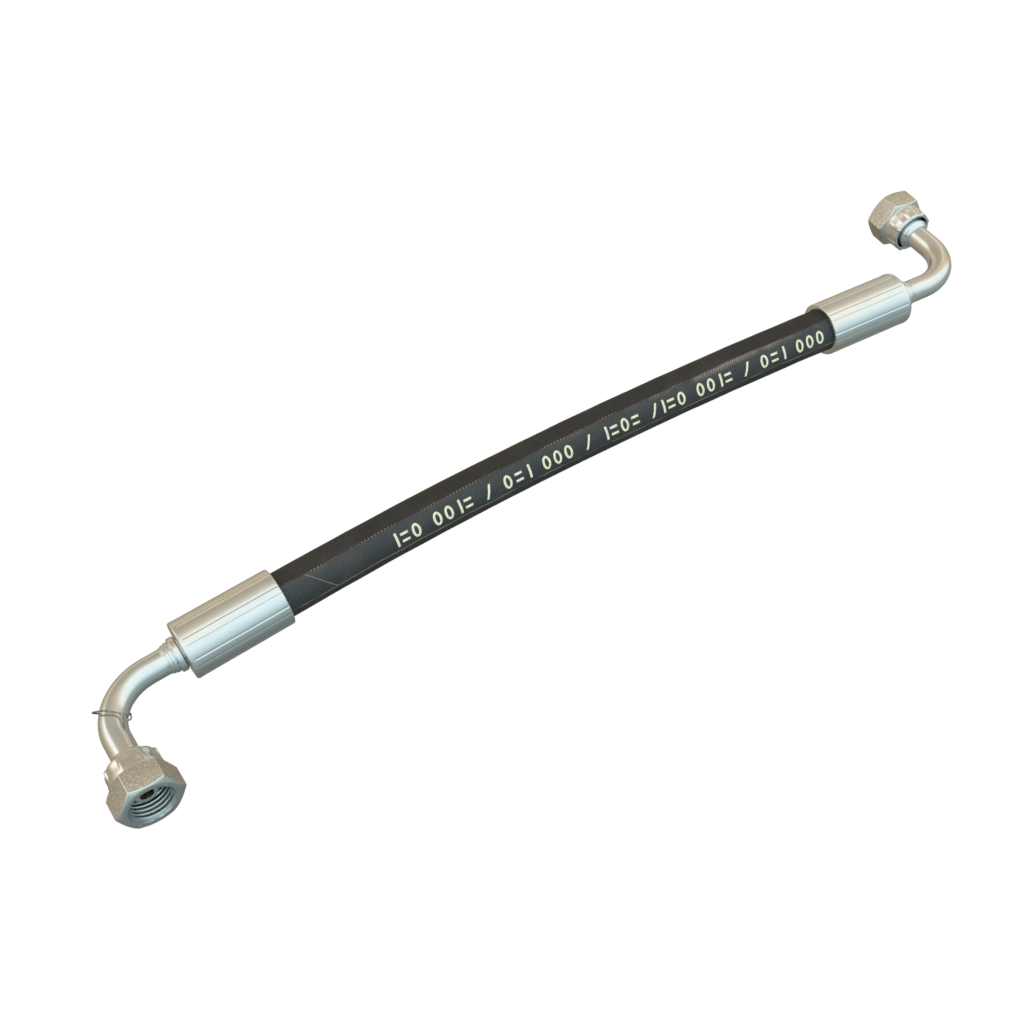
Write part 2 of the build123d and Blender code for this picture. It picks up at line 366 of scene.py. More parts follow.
def make_wear_group():
    """Mask of outer edges, where the plate is rubbed bright."""
    group, given, out = new_group("edge_wear", [("Vector", "v")], [("Mask", "f")])
    point = group.nodes.new("ShaderNodeNewGeometry").outputs["Pointiness"]
    broken = noise_tex(group, given["Vector"], 900.0, 3.0)
    edge = node(group, "ShaderNodeMapRange", i0=point, i1=0.56, i2=0.72)
    worn = times(group, edge.outputs[0], between(group, broken, 0.3, 0.6), clamp=True)
    group.links.new(worn, out["Mask"])
    return group


def make_dust_group():
    """Mask of dust: soft clouds and small specks."""
    group, given, out = new_group("dust", [("Vector", "v"), ("Amount", "f")], [("Mask", "f")])
    broad = noise_tex(group, given["Vector"], 90.0, 5.0, 0.65)
    specks = noise_tex(group, given["Vector"], 2400.0, 2.0, 0.6)
    cloud = between(group, broad, 0.45, 0.75)
    spots = between(group, specks, 0.6, 0.72)
    both = math_node(group, "MAXIMUM", times(group, cloud, 0.45), spots)
    group.links.new(times(group, both, given["Amount"], clamp=True), out["Mask"])
    return group


plate_group = make_plate_group()
wear_group = make_wear_group()
dust_group = make_dust_group()


# ---- Finishes
PLATE_TINTS = (0.72, 0.77, 0.79, 1), (0.80, 0.77, 0.70, 1)
# the thread's tints are darker copies of the plate tints: painted shade inside the nut
SHADED_THREAD_TINTS = (0.42, 0.50, 0.54, 1), (0.58, 0.62, 0.62, 1)
RUBBED, RUBBED_GRAIN = (0.95, 0.94, 0.91, 1), (0.95, 0.94, 0.92, 1)


def zinc(name, axis, stretch, smooth, rough, bump, tints=PLATE_TINTS):
    """Plated steel. A stretch under 1 draws its streaks out along the axis."""
    cool, warm = tints
    material, tree, shader = new_material(name, metallic=1.0)
    coords = object_coords(tree)
    streaks = object_coords(tree, axis, stretch)
    clouds = object_coords(tree, axis, max(stretch, 0.16)) if stretch < 1 else coords
    plate = use_group(
        tree, plate_group, Vector=clouds, Streaks=streaks, Cool=cool, Warm=warm, Smooth=smooth, Rough=rough
    )
    wear = use_group(tree, wear_group, Vector=coords)
    tree.links.new(mixed(tree, wear["Mask"], plate["Color"], RUBBED), shader.inputs["Base Color"])
    tree.links.new(plate["Roughness"], shader.inputs["Roughness"])
    bumped(tree, shader, plate["Height"], bump)
    return material


def grainy_flats(name):
    """The nut's flats, left as drawn: a fine pitted grain under the plate."""
    material, tree, shader = new_material(name, metallic=1.0)
    coords = object_coords(tree)
    pits = noise_tex(tree, coords, 2300.0, 4.0, 0.75)
    clouds = noise_tex(tree, coords, 260.0, 3.0)
    fleck = between(tree, pits, 0.42, 0.64)
    tone = mixed(tree, fleck, (0.46, 0.43, 0.37, 1), (0.88, 0.84, 0.75, 1))
    cloud = times(tree, between(tree, clouds, 0.35, 0.7), 0.35)
    wear = use_group(tree, wear_group, Vector=coords)
    base = mixed(tree, cloud, tone, (0.62, 0.60, 0.55, 1))
    tree.links.new(mixed(tree, wear["Mask"], base, RUBBED_GRAIN), shader.inputs["Base Color"])
    tree.links.new(between(tree, pits, 0.3, 0.7, 0.55, 0.40), shader.inputs["Roughness"])
    bumped(tree, shader, pits, 0.06)
    return material


# the cloth wrap's pattern, in millimetres along the hose and round it from the top
BAND_START, BAND_END = 2.8, 11.4
CLOTH_LEAN = radians(52)
CLOTH_RIB_PITCH = 0.72
CLOTH_THREAD_PITCH = 0.5
STITCH_PITCH = 1.15
FOLD_START = 33.7
DUSTY = (0.30, 0.25, 0.18, 1)


def seam_line(tree, lane, centre, width):
    """Mask of a line round the hose at one place, soft at its edges."""
    off = math_node(tree, "ABSOLUTE", minus(tree, lane, centre * MM))
    return between(tree, off, width * 0.3 * MM, width * MM, 1.0, 0.0)


def seam_and_fold(tree, uv, along, lane, inside):
    """The stitch-like upper seam, the faint lower one and a fold across the band near end A."""
    dots = between(tree, wave(tree, along, STITCH_PITCH), -0.2, 0.7)
    broken = between(tree, noise_tex(tree, uv, 95.0, 3.0), 0.42, 0.6)
    upper = times(tree, seam_line(tree, lane, BAND_START, 0.34), dots)
    upper = times(tree, upper, math_node(tree, "MULTIPLY_ADD", broken, 0.75, 0.1))
    faint = between(tree, noise_tex(tree, uv, 70.0, 3.0), 0.4, 0.58, 0.15, 0.8)
    lower = times(tree, seam_line(tree, lane, BAND_END, 0.28), faint)
    down = minus(tree, lane, BAND_START * MM)
    fold_at = math_node(tree, "MULTIPLY_ADD", down, 0.9, FOLD_START * MM)
    off_fold = math_node(tree, "ABSOLUTE", minus(tree, along, fold_at))
    fold = times(tree, between(tree, off_fold, 0.08 * MM, 0.3 * MM, 0.7, 0.0), inside)
    return math_node(tree, "MAXIMUM", math_node(tree, "MAXIMUM", upper, lower), fold)


def rubbed_dust(tree, uv, along, lane, ribs):
    """Mask of tan dust rubbed into the ribs below the upper seam, thickest near end B."""
    fall = minus(tree, lane, BAND_START * MM)
    faded = between(tree, fall, 0.4 * MM, 2.4 * MM, 1.0, 0.0)
    strip = times(tree, between(tree, fall, 0.0, 0.2 * MM), faded)
    patchy = between(tree, noise_tex(tree, uv, 45.0, 4.0, 0.6), 0.42, 0.62)
    toward_b = between(tree, along, 120 * MM, 165 * MM, 0.12, 0.85)
    rubbed = times(tree, times(tree, strip, patchy), toward_b)
    return times(tree, rubbed, between(tree, ribs, -0.5, 0.8, 0.25, 1.0))


def cover_rubber():
    """Cloth-wrapped rubber: UV runs along the hose and round it from the top, in metres."""
    material, tree, shader = new_material("cover_rubber", roughness=0.6, specular=0.45)
    uv_node = tree.nodes.new("ShaderNodeUVMap")
    uv_node.uv_map = "lay"
    uv = uv_node.outputs[0]
    along, around, _ = node(tree, "ShaderNodeSeparateXYZ", Vector=uv).outputs
    coords = object_coords(tree)

    # the smoother band between the two seams, which wander a little
    wander = times(tree, minus(tree, noise_tex(tree, uv, 60.0), 0.5), 1.2 * MM)
    lane = math_node(tree, "ADD", around, wander)
    inside = times(
        tree,
        between(tree, lane, BAND_START * MM, (BAND_START + 0.3) * MM),
        between(tree, lane, BAND_END * MM, (BAND_END + 0.3) * MM, 1.0, 0.0),
    )

    # slanted ribs and finer threads, left by the cloth
    lengthwise = times(tree, along, sin(CLOTH_LEAN))
    crosswise = times(tree, around, cos(CLOTH_LEAN))
    ribs = wave(tree, math_node(tree, "ADD", lengthwise, crosswise), CLOTH_RIB_PITCH)
    threads = wave(tree, minus(tree, lengthwise, crosswise), CLOTH_THREAD_PITCH)
    grain = noise_tex(tree, coords, 1500.0, 4.0, 0.7)
    rib_height = times(tree, ribs, between(tree, inside, 0.0, 1.0, 0.3, 1.0))
    weave = math_node(tree, "MULTIPLY_ADD", threads, 0.22, rib_height)

    lines = seam_and_fold(tree, uv, along, lane, inside)
    rubbed = rubbed_dust(tree, uv, along, lane, ribs)
    matt = mixed(tree, grain, (0.012, 0.0105, 0.009, 1), (0.028, 0.025, 0.022, 1))
    band = mixed(tree, grain, (0.010, 0.013, 0.015, 1), (0.022, 0.027, 0.031, 1))
    base = mixed(tree, inside, matt, band)
    base = mixed(tree, times(tree, lines, 0.75), base, DUSTY)
    base = mixed(tree, rubbed, base, (0.30, 0.25, 0.19, 1))
    dust = use_group(tree, dust_group, Vector=coords, Amount=0.16)
    base = mixed(tree, dust["Mask"], base, (0.20, 0.18, 0.16, 1))
    tree.links.new(base, shader.inputs["Base Color"])

    satin = between(tree, inside, 0.0, 1.0, 0.72, 0.38)
    rough = math_node(tree, "MULTIPLY_ADD", grain, 0.16, minus(tree, satin, 0.06))
    tree.links.new(rough, shader.inputs["Roughness"])
    tree.links.new(times(tree, inside, 0.45), shader.inputs["Coat Weight"])
    shader.inputs["Coat Roughness"].default_value = 0.3
    height = math_node(tree, "MULTIPLY_ADD", lines, 1.2, math_node(tree, "MULTIPLY_ADD", grain, 0.6, weave))
    bumped(tree, shader, height, 0.08)
    return material


def plain_rubber(name, dark, light, roughness):
    """Rubber of one tone, with a fine grain and a little dust."""
    material, tree, shader = new_material(name, specular=0.4)
    coords = object_coords(tree)
    grain = noise_tex(tree, coords, 1800.0, 4.0, 0.6)
    dust = use_group(tree, dust_group, Vector=coords, Amount=0.12)
    base = mixed(tree, grain, dark, light)
    tree.links.new(mixed(tree, dust["Mask"], base, (0.2, 0.19, 0.17, 1)), shader.inputs["Base Color"])
    tree.links.new(between(tree, grain, 0.3, 0.7, roughness, roughness + 0.15), shader.inputs["Roughness"])
    bumped(tree, shader, grain, 0.02)
    return material


def braid_wire():
    """Brass-coated wires laid both ways round the hose, whose bow keeps near one line; the darker brass
    between the wire crests is painted shade.
    """
    mean_side, wires, lay_length = 6.0, 24, 1.6
    material, tree, shader = new_material("braid_wire", metallic=1.0)
    along, side, high = node(tree, "ShaderNodeSeparateXYZ", Vector=object_coords(tree)).outputs
    off_side, off_high = minus(tree, side, mean_side * MM), minus(tree, high, AXIS_HEIGHT * MM)
    turns = times(tree, math_node(tree, "ARCTAN2", off_side, off_high), wires)
    run = times(tree, along, 2 * pi / (lay_length * MM))
    one = math_node(tree, "SINE", math_node(tree, "ADD", turns, run))
    other = math_node(tree, "SINE", minus(tree, turns, run))
    weave = math_node(tree, "MAXIMUM", one, other)
    # painted shade: the valleys between the wire crests get a darker brass
    base = mixed(tree, between(tree, weave, -0.2, 0.9), (0.16, 0.11, 0.05, 1), (0.78, 0.60, 0.30, 1))
    tree.links.new(base, shader.inputs["Base Color"])
    tree.links.new(between(tree, weave, 0.0, 1.0, 0.5, 0.28), shader.inputs["Roughness"])
    bumped(tree, shader, weave, 0.1)
    return material


def print_paint():
    """Pale ink, worn and flaked."""
    material, tree, shader = new_material("print_paint", specular=0.3)
    coords = object_coords(tree)
    wornness = noise_tex(tree, coords, 1400.0, 4.0, 0.7)
    cracks = noise_tex(tree, coords, 5200.0, 2.0, 0.6)
    base = mixed(tree, between(tree, wornness, 0.35, 0.7), (0.60, 0.60, 0.42, 1), (0.78, 0.78, 0.60, 1))
    flaked = between(tree, cracks, 0.68, 0.78)
    tree.links.new(mixed(tree, flaked, base, (0.12, 0.12, 0.10, 1)), shader.inputs["Base Color"])
    tree.links.new(between(tree, wornness, 0.3, 0.7, 0.5, 0.7), shader.inputs["Roughness"])
    bumped(tree, shader, wornness, 0.02)
    return material


def soft_wire():
    """Tarnished annealed wire."""
    material, tree, shader = new_material("soft_wire", metallic=1.0)
    coords = object_coords(tree)
    tarnish = noise_tex(tree, coords, 1500.0, 4.0, 0.7)
    base = mixed(tree, between(tree, tarnish, 0.3, 0.7), (0.14, 0.13, 0.12, 1), (0.46, 0.46, 0.45, 1))
    tree.links.new(base, shader.inputs["Base Color"])
    tree.links.new(between(tree, tarnish, 0.3, 0.7, 0.5, 0.3), shader.inputs["Roughness"])
    bumped(tree, shader, tarnish, 0.03)
    return material


rubber_cover = cover_rubber()
rubber_inner = plain_rubber("tube_rubber", (0.010, 0.010, 0.010, 1), (0.026, 0.026, 0.026, 1), 0.4)
rubber_layer = plain_rubber("layer_rubber", (0.035, 0.034, 0.032, 1), (0.07, 0.068, 0.064, 1), 0.6)
rubber_seal = plain_rubber("seal_rubber", (0.008, 0.008, 0.009, 1), (0.02, 0.02, 0.021, 1), 0.3)
wire_braid = braid_wire()
paint = print_paint()
wire_finish = soft_wire()
flats_finish = grainy_flats("nut_flats")


# ---- Hose cover: a tube of the real length along one smooth line
def route_points():
    """Points along the smooth line that the route gives."""
    mesh = smooth_line("hose_route", [(x, y, AXIS_HEIGHT) for x, y in HOSE_ROUTE], 48)
    points = [v.co.copy() for v in mesh.vertices]
    bpy.data.meshes.remove(mesh)
    return points


hose_points = route_points()
hose_marks = [0.0]
for first, second in zip(hose_points, hose_points[1:]):
    hose_marks.append(hose_marks[-1] + (second - first).length)


def hose_frame(index):
    """Centre, tangent, the front side and the top of the hose at one of its points."""
    before = hose_points[max(index - 1, 0)]
    after = hose_points[min(index + 1, len(hose_points) - 1)]
    tangent = (after - before).normalized()
    side = tangent.cross(UP).normalized()
    return hose_points[index], tangent, side, side.cross(tangent)


def on_hose(run, angle, radius):
    """Place on or near the cover, from its distance along and its angle from the top."""
    index = min(bisect_left(hose_marks, run), len(hose_marks) - 1)
    centre, tangent, side, top = hose_frame(index)
    centre = centre + tangent * (run - hose_marks[index])
    return centre + (top * cos(angle) + side * sin(angle)) * radius


def cover_lump(run, angle):
    """Unevenness of the wrapped cover in millimetres, with a low ridge at both seams."""
    spot = Vector((run * 90, cos(angle) * 1.6, sin(angle) * 1.6))
    lump = 0.10 * noise.noise(spot) + 0.03 * noise.noise(spot * 4.0)
    for seam_angle in SEAM_ANGLES:
        off = (angle - radians(seam_angle)) * HOSE_RADIUS
        lump += 0.05 * exp(-((off / 0.35) ** 2))
    return lump


COVER_STEPS = 120


def lay_uv(bm, angle_of, run_of):
    """UV in metres, along the hose and round it; a face that passes the underside is unwrapped."""
    lay = bm.loops.layers.uv.new("lay")
    for face in bm.faces:
        face_angles = [angle_of[loop.vert] for loop in face.loops]
        wraps = max(face_angles) - min(face_angles) > pi
        for loop, angle in zip(face.loops, face_angles):
            if wraps and angle < 0:
                angle += 2 * pi
            loop[lay].uv = (run_of[loop.vert], angle * HOSE_RADIUS * MM)


def hose_cover():
    """Tube grown ring by ring: across its first cut end, along its outside, and back inside."""
    last = len(hose_points) - 1
    courses = [(0, COVER_INNER_RADIUS)] + [(i, HOSE_RADIUS) for i in range(last + 1)]
    courses += [(i, COVER_INNER_RADIUS) for i in range(last, 0, -1)]
    bm = bmesh.new()
    circle, edges = open_circle(bm, 1.0, COVER_STEPS)
    angles = {v: atan2(v.co.x, v.co.y) for v in circle}
    angle_of, run_of = {}, {}
    for step, (index, radius) in enumerate(courses):
        if step:
            fresh, edges = grow(bm, edges)
            angles = carried(angles, fresh)
        centre, _, side, top = hose_frame(index)
        for v, angle in angles.items():
            lump = cover_lump(hose_marks[index], angle) if radius == HOSE_RADIUS else 0.0
            v.co = centre + (top * cos(angle) + side * sin(angle)) * (radius + lump) * MM
            angle_of[v], run_of[v] = angle, hose_marks[index]
    bmesh.ops.bridge_loops(bm, edges=[e for e in bm.edges if e.is_boundary])
    bmesh.ops.recalc_face_normals(bm, faces=bm.faces)
    lay_uv(bm, angle_of, run_of)
    return finish_mesh("hose_cover_wrap", bm, [rubber_cover])


cover = hose_cover()
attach(cover, "root")
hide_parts("hose_cover")


# ---- Printed line: plain bars, rings and slashes along the hose, no lettering
MARK_HEIGHT = 4.6
MARK_MIDDLE = radians(60)
MARK_LIFT = 0.035
STROKE = 0.8
PRINT_START, PRINT_END = 63.0, 227.0
MOTIF = "I=o ooI= / o=I ooo / I=o= /"
MARK_STEP = {"o": 4.1, "I": 2.8, "/": 3.6, "=": 4.0, " ": 3.4}


def bent_mark(bm, verts, run):
    """Wrap flat marks, drawn along X and round Y in millimetres, onto the cover."""
    for v in verts:
        place, angle = (run + v.co.x) * MM, MARK_MIDDLE + v.co.y / HOSE_RADIUS
        v.co = on_hose(place, angle, (HOSE_RADIUS + MARK_LIFT + cover_lump(place, angle)) * MM)


def bar_mark(bm, width, height, lean=0.0, raised=0.0):
    grid = bmesh.ops.create_grid(bm, x_segments=2, y_segments=12, size=0.5)["verts"]
    for v in grid:
        across, up = v.co.x * width, v.co.y * height
        v.co = (across + up * lean, up + raised, 0)
    return grid


def ring_mark(bm, width, height):
    outer, edges = open_circle(bm, 1, 32)
    inner, _ = grow(bm, edges)
    for verts, inset in ((outer, 0.0), (inner, STROKE)):
        for v in verts:
            v.co = (v.co.x * (width / 2 - inset), v.co.y * (height / 2 - inset), 0)
    return outer + inner


def printed_line():
    """The motif's marks, one after another, from the start of the print to its end."""
    bm = bmesh.new()
    run = PRINT_START
    for kind in cycle(MOTIF):
        if run >= PRINT_END:
            break
        if kind == "o":
            bent_mark(bm, ring_mark(bm, 2.9, MARK_HEIGHT), run)
        elif kind == "I":
            bent_mark(bm, bar_mark(bm, STROKE, MARK_HEIGHT), run)
        elif kind == "/":
            bent_mark(bm, bar_mark(bm, STROKE, MARK_HEIGHT, lean=-0.42), run)
        elif kind == "=":
            for raised in (-1.1, 1.1):
                bent_mark(bm, bar_mark(bm, 2.7, STROKE, raised=raised), run)
        run += MARK_STEP[kind]
    bmesh.ops.recalc_face_normals(bm, faces=bm.faces)
    piece = finish_mesh("printed_line", bm, [paint])
    film = piece.modifiers.new("film", "SOLIDIFY")
    film.thickness = 0.06 * MM
    film.offset = 0.0
    return piece


marks = printed_line()
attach(marks, "root")


# ---- Fittings
def fitting_lines(end):
    """Where a fitting lies: the hose's cut end, its way out, and the port's mouth and way."""
    joint = next(j for j in frame["joints"] if j["name"] == f"nut_{end}_spin")
    first, second = (HOSE_ROUTE[0], HOSE_ROUTE[1]) if end == "a" else (HOSE_ROUTE[-1], HOSE_ROUTE[-2])
    cut = Vector((*first, AXIS_HEIGHT))
    outward = (cut - Vector((*second, AXIS_HEIGHT))).normalized()
    return cut, outward, Vector(joint["pos_m"]) / MM, Vector(joint["axis"]).normalized()


LAND_STEPS = 52


def ferrule(end, cut, outward, finish):
    """Crimped shell: eight pressed lands, and between them low ribs edged by fine grooves."""
    crimp_end, crimp_fade, press_depth = FERRULE_END - 0.9, 1.2, 0.09
    stations = [FERRULE_MOUTH + 0.5]
    while stations[-1] < FERRULE_END - 3.0:
        stations.append(stations[-1] + 2.4)
    stations += [FERRULE_END - back for back in (2.1, 1.7, 1.3, 0.9)]
    outer = [(FERRULE_RADIUS - 0.42, FERRULE_MOUTH), (FERRULE_RADIUS - 0.12, FERRULE_MOUTH + 0.14)]
    outer += [(FERRULE_RADIUS, s) for s in stations]
    outer += [
        (FERRULE_RADIUS - 0.02, FERRULE_END - 0.62),
        (FERRULE_RADIUS - 0.11, FERRULE_END - 0.32),
        (FERRULE_RADIUS - 0.30, FERRULE_END - 0.11),
        (FERRULE_RADIUS - 0.52, FERRULE_END - 0.02),
        (FERRULE_RADIUS - 0.75, FERRULE_END),
    ]
    inner = [
        (5.0, FERRULE_END),
        (4.6, FERRULE_END - 0.3),
        (4.6, 1.7),
        (HOSE_RADIUS, 1.7),
        (HOSE_RADIUS + 0.03, FERRULE_MOUTH + 0.7),
        (HOSE_RADIUS + 0.2, FERRULE_MOUTH + 0.05),
    ]
    bm = bmesh.new()
    outline_ring(bm, outer + inner, 0)
    spin_full(bm, LANDS * LAND_STEPS)
    rib = radians(RIB_ANGLE[end])
    for v in bm.verts:
        radius, station = v.co.xy.length / MM, v.co.z / MM
        if radius < FERRULE_RADIUS - 0.5 or station < FERRULE_MOUTH + 0.05:
            continue
        angle = atan2(v.co.y, v.co.x)
        offset = (angle - rib + pi / LANDS) % (2 * pi / LANDS) - pi / LANDS
        from_edge = abs(offset) * FERRULE_RADIUS - RIB_WIDTH / 2
        fade = min(1.0, max(0.0, (crimp_end - station) / crimp_fade))
        fade = fade * fade * (3 - 2 * fade)
        raised = 0.07 / (1 + exp(from_edge / 0.07))
        groove = 0.12 * exp(-((from_edge / 0.17) ** 2)) + 0.03 * exp(-((from_edge / 0.6) ** 2))
        v.co.xy *= (radius + fade * (raised - groove - press_depth)) / radius
    bmesh.ops.transform(bm, matrix=placed(cut, outward), verts=bm.verts)
    return finish_mesh(f"ferrule_shell_{end}", bm, [finish], smooth_angle=50)


def tail(end, cut, outward, finish):
    """Barbed insert with its collar, grooved neck and taper onto the tube."""
    crest, root, barbs = 3.2, 2.8, 6
    stop, neck, collar = 5.5, 4.6, 5.4
    outline = [(TAIL_BORE_RADIUS, -TAIL_LENGTH)]
    for barb in range(barbs):
        low = -TAIL_LENGTH + barb * TAIL_LENGTH / barbs
        outline += [(root, low), (crest, low + 2.5), (crest, low + 3.3), (root, low + 3.34)]
    outline += [
        (root, 0.0),
        (stop, 0.0),
        (stop, 1.5),
        (neck, 1.5),
        (neck, COLLAR_START - 0.05),
        (5.05, COLLAR_START),
        (collar, COLLAR_START + 0.35),
        (collar, COLLAR_END - 0.4),
        (5.15, COLLAR_END - 0.05),
        (4.68, COLLAR_END + 0.1),
        (neck, COLLAR_END + 0.3),
        (4.74, COLLAR_END + 0.5),
        (4.74, COLLAR_END + 1.15),
        (4.46, COLLAR_END + 1.35),
        (4.46, COLLAR_END + 2.1),
        (4.24, COLLAR_END + 2.3),
        (4.02, TAIL_END),
        (TUBE_RADIUS, TAIL_END - BRAZE_DEPTH),
        (TAIL_BORE_RADIUS, TAIL_END - BRAZE_DEPTH),
    ]
    return turned(f"barbed_tail_{end}", outline, placed(cut, outward), finish, rounding=0.07)


def bent_tube(end, cut, outward, port_way, finish):
    """Straight, ninety degree bend and straight, as an outer and an inner wall."""
    begin = TAIL_END - BRAZE_DEPTH
    bend_at = COLLAR_END + COLLAR_TO_BEND[end]
    last = BEND_TO_PORT - (NOSE_END - BRAZE_DEPTH)
    centre = (cut + outward * bend_at + port_way * BEND_RADIUS) * MM
    bm = bmesh.new()

    def straight(edges, way, length, parts=4):
        for _ in range(parts):
            verts, edges = grow(bm, edges)
            bmesh.ops.translate(bm, verts=verts, vec=way * (length / parts) * MM)
        return edges

    starts, ends = [], []
    for radius in (TUBE_RADIUS, TUBE_BORE_RADIUS):
        circle, edges = open_circle(bm, radius * MM, 72)
        bmesh.ops.transform(bm, matrix=placed(cut + outward * begin, outward), verts=circle)
        starts += edges
        edges = straight(edges, outward, bend_at - begin)
        spun = bmesh.ops.spin(
            bm,
            geom=edges,
            cent=centre,
            axis=outward.cross(port_way),
            dvec=(0, 0, 0),
            angle=pi / 2,
            steps=56,
            use_merge=False,
            use_duplicate=False,
        )["geom_last"]
        edges = [g for g in spun if isinstance(g, bmesh.types.BMEdge)]
        ends += straight(edges, port_way, last)
    bmesh.ops.bridge_loops(bm, edges=starts)
    bmesh.ops.bridge_loops(bm, edges=ends)
    return finish_mesh(f"bent_tube_{end}", bm, [finish])


def cone_nose(end, mouth, port_way, finish):
    """Cone that seals in the port, the groove of its ring, its shoulder and its hub."""
    groove, shoulder, hub = SEAL_SEAT_RADIUS, 6.4, 5.6
    outline = [
        (NOSE_BORE_RADIUS, 3.8),
        (2.95, 3.8),
        (3.07, 3.86),
        (3.86, 5.2),
        (groove, 5.2),
        (groove, 6.6),
        (4.66, 6.6),
        (5.2, 7.5),
        (5.2, 7.8),
        (5.8, 7.8),
        (shoulder, 8.4),
        (shoulder, 11.0),
        (hub, 11.0),
        (hub, 15.3),
        (5.45, 15.75),
        (5.0, 16.2),
        (4.55, 16.9),
        (4.03, NOSE_END),
        (TUBE_RADIUS, NOSE_END - BRAZE_DEPTH),
        (NOSE_BORE_RADIUS, NOSE_END - BRAZE_DEPTH),
    ]
    inward = [(radius, -depth) for radius, depth in outline]
    return turned(f"cone_seat_{end}", inward, placed(mouth, port_way), finish, rounding=0.08)


def o_ring(end, mouth, port_way):
    """Round ring, flattened where it sits on the bottom of its groove."""
    wire_radius, ring_radius, depth = 0.6, 3.8, 5.9
    bm = bmesh.new()
    circle, _ = open_circle(bm, wire_radius * MM, 24)
    stand = Matrix.Translation(Vector((ring_radius, 0, -depth)) * MM) @ Matrix.Rotation(pi / 2, 4, "X")
    bmesh.ops.transform(bm, matrix=stand, verts=circle)
    for v in circle:
        v.co.x = max(v.co.x, SEAL_SEAT_RADIUS * MM)
    spin_full(bm, 96)
    bmesh.ops.transform(bm, matrix=placed(mouth, port_way), verts=bm.verts)
    return finish_mesh(f"seal_ring_{end}", bm, [rubber_seal], smooth_angle=60)


# ---- Swivel nut: local +Z is out of its mouth, and its corners start on +X
HEX_STEPS = 192
SKIRT_RADIUS = 7.95
THREAD_SHAPE = (
    (0.0, 0.0), (0.08, 0.06), (0.16, 0.22), (0.24, 0.42), (0.32, 0.64),
    (0.40, 0.86), (0.46, 0.97), (0.54, 1.0), (0.60, 0.97), (0.66, 0.86),
    (0.76, 0.64), (0.84, 0.42), (0.92, 0.22), (0.97, 0.06), (1.0, 0.0),
)
TURNED, FLATS, INSIDE = 0, 1, 2


def hex_radius(angle):
    third = (angle % (pi / 3)) - pi / 6
    return NUT_FLATS / 2 / cos(third)


def skirt_radius(angle, station):
    """Round next to the hexagon, pressed into eight lands towards its back edge."""
    press = min(1.0, max(0.0, (station - 9.4) / 2.4))
    land = (angle % (2 * pi / LANDS)) - pi / LANDS
    flat = min(7.93, 7.42 + 0.5 * exp(-((land * 7.9 / 0.5) ** 2)) + 0.05 * abs(land) * 7.9)
    lip = max(0.0, station - 13.3)
    return SKIRT_RADIUS + (flat - SKIRT_RADIUS) * press - 0.3 * lip * lip


def thread_radius(radius, depth):
    """Radius of a thread's point once its mouth is countersunk and its deep end relieved."""
    mouth_radius, countersink = 6.7, 0.8
    relief_radius, relief_start, relief_run = 6.62, 6.3, 0.7
    if depth < 0.05:
        return mouth_radius
    if depth > THREAD_LENGTH - 0.05:
        return relief_radius
    sunk = mouth_radius - depth * (mouth_radius - THREAD_CREST) / countersink
    relief = THREAD_CREST + (depth - relief_start) / relief_run * (relief_radius - THREAD_CREST)
    return max(radius, sunk, min(relief, relief_radius))


def nut_thread(bm):
    """Right-hand internal thread: one pitch of its outline, spun as a screw and trimmed."""
    turns, steps_per_turn, low = 9, 72, -8.6
    height = THREAD_ROOT - THREAD_CREST
    verts = [
        bm.verts.new(((THREAD_CREST + height * depth) * MM, 0, (low + share * THREAD_PITCH) * MM))
        for share, depth in THREAD_SHAPE
    ]
    edges = [bm.edges.new(pair) for pair in zip(verts, verts[1:])]
    bmesh.ops.spin(
        bm,
        geom=verts + edges,
        cent=(0, 0, 0),
        axis=(0, 0, 1),
        dvec=(0, 0, THREAD_PITCH * MM / steps_per_turn),
        angle=2 * pi * turns,
        steps=turns * steps_per_turn,
        use_merge=False,
        use_duplicate=False,
    )
    bmesh.ops.remove_doubles(bm, verts=bm.verts, dist=2e-6)
    for v in bm.verts:
        radius = v.co.xy.length / MM
        v.co.xy *= thread_radius(radius, -v.co.z / MM) / radius
    deep_end = -THREAD_LENGTH * MM
    for level, keep_below in ((0.0, True), (deep_end, False)):
        bmesh.ops.bisect_plane(
            bm,
            geom=bm.verts[:] + bm.edges[:] + bm.faces[:],
            dist=1e-7,
            plane_co=(0, 0, level),
            plane_no=(0, 0, 1),
            clear_outer=keep_below,
            clear_inner=not keep_below,
        )
    rims = [e for e in bm.edges if e.is_boundary]
    top = [e for e in rims if max(v.co.z for v in e.verts) > -1e-5]
    deep = [e for e in rims if min(v.co.z for v in e.verts) < deep_end + 1e-5]
    return top, deep


def level_ring(radius, station):
    return lambda angle: (radius, station)


def hex_ring(back):
    """Edge of the flats beside the mouth or the back, where a 30 degree chamfer cuts them."""

    def at(angle):
        chamfer = (hex_radius(angle) - NUT_FACE_RADIUS) * tan(radians(30))
        return hex_radius(angle), NUT_HEX_LENGTH - chamfer if back else chamfer

    return at


def skirt_ring(station, inset=0.0, shift=0.0):
    return lambda angle: (skirt_radius(angle, station) - inset, station + shift)


